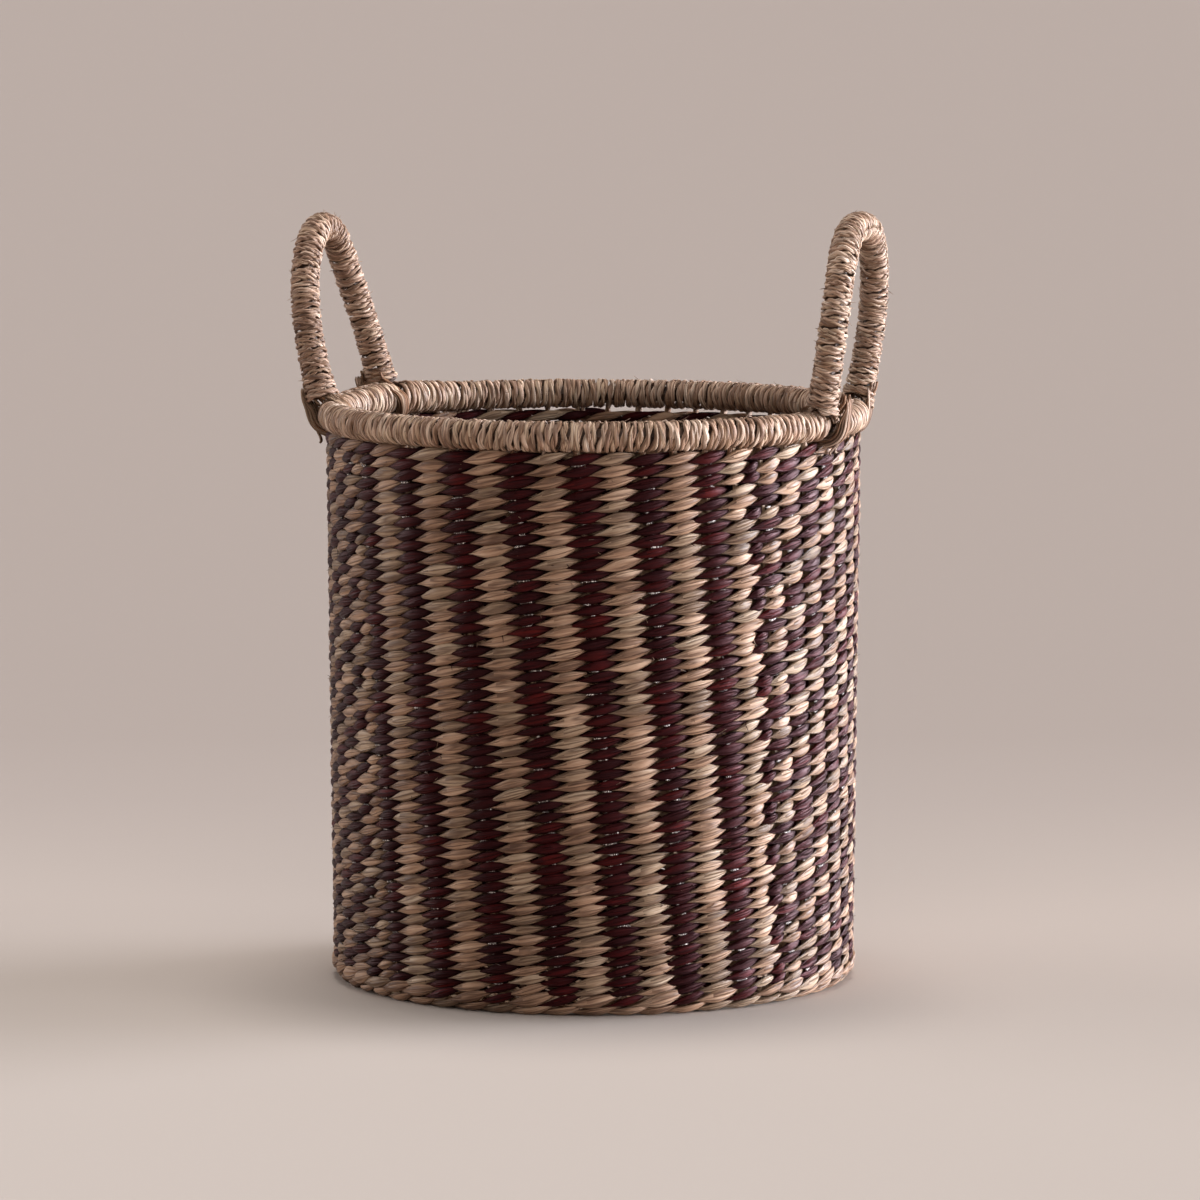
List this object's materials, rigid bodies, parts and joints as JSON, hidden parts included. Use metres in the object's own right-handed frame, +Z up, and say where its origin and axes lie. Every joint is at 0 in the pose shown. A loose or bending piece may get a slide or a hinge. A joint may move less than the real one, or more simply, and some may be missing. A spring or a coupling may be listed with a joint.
{
  "type": "woven basket",
  "caption": "Tall round basket with a twined two-tone grass wall, a wrapped rim and a wrapped loop handle that swings on each side.",
  "frame": {"origin": "on the floor, under the middle of the basket", "axes": "+Z up, the handles towards -X and +X and turned a little to the back, the front towards -Y"},
  "size_m": [0.3886, 0.357, 0.501],
  "materials": {
    "reed": "dry reed",
    "natural_grass": "undyed grass",
    "dyed_grass": "dark red dyed grass, slightly glossy",
    "rope_core": "coarse grass rope",
    "grass_wrap": "twisted grass twine",
    "dark_strap": "flat dark grass blade"
  },
  "bodies": {
    "basket": {"cross_stake_01": "reed", "cross_stake_02": "reed", "cross_stake_03": "reed", "cross_stake_04": "reed", "cross_stake_05": "reed", "cross_stake_06": "reed", "cross_stake_07": "reed", "cross_stake_08": "reed", "cross_stake_09": "reed", "cross_stake_10": "reed", "cross_stake_11": "reed", "cross_stake_12": "reed", "cross_stake_13": "reed", "long_stake_01": "reed", "long_stake_02": "reed", "long_stake_03": "reed", "long_stake_04": "reed", "long_stake_05": "reed", "long_stake_06": "reed", "long_stake_07": "reed", "long_stake_08": "reed", "long_stake_09": "reed", "long_stake_10": "reed", "long_stake_11": "reed", "long_stake_12": "reed", "long_stake_13": "reed", "base_mat": "natural_grass", "foot_border": "natural_grass", "wall_weave": "dyed_grass", "rim_core": "rope_core", "rim_wrap": "grass_wrap"},
    "left_handle": {"left_handle_core": "rope_core", "left_handle_wrap": "grass_wrap", "left_front_lashing": "dark_strap", "left_back_lashing": "dark_strap"},
    "right_handle": {"right_handle_core": "rope_core", "right_handle_wrap": "grass_wrap", "right_front_lashing": "dark_strap", "right_back_lashing": "dark_strap"}
  },
  "joints": [
    {"name": "left_handle_swing", "type": "hinge", "parent": "basket", "child": "left_handle", "pos_m": [-0.15773, 0.00954, 0.3675], "axis": [0.0604, 0.9982, 0], "range_deg": [-55, 75]},
    {"name": "right_handle_swing", "type": "hinge", "parent": "basket", "child": "right_handle", "pos_m": [0.15773, 0.00954, 0.3675], "axis": [0.0604, -0.9982, 0], "range_deg": [-55, 75]}
  ]
}
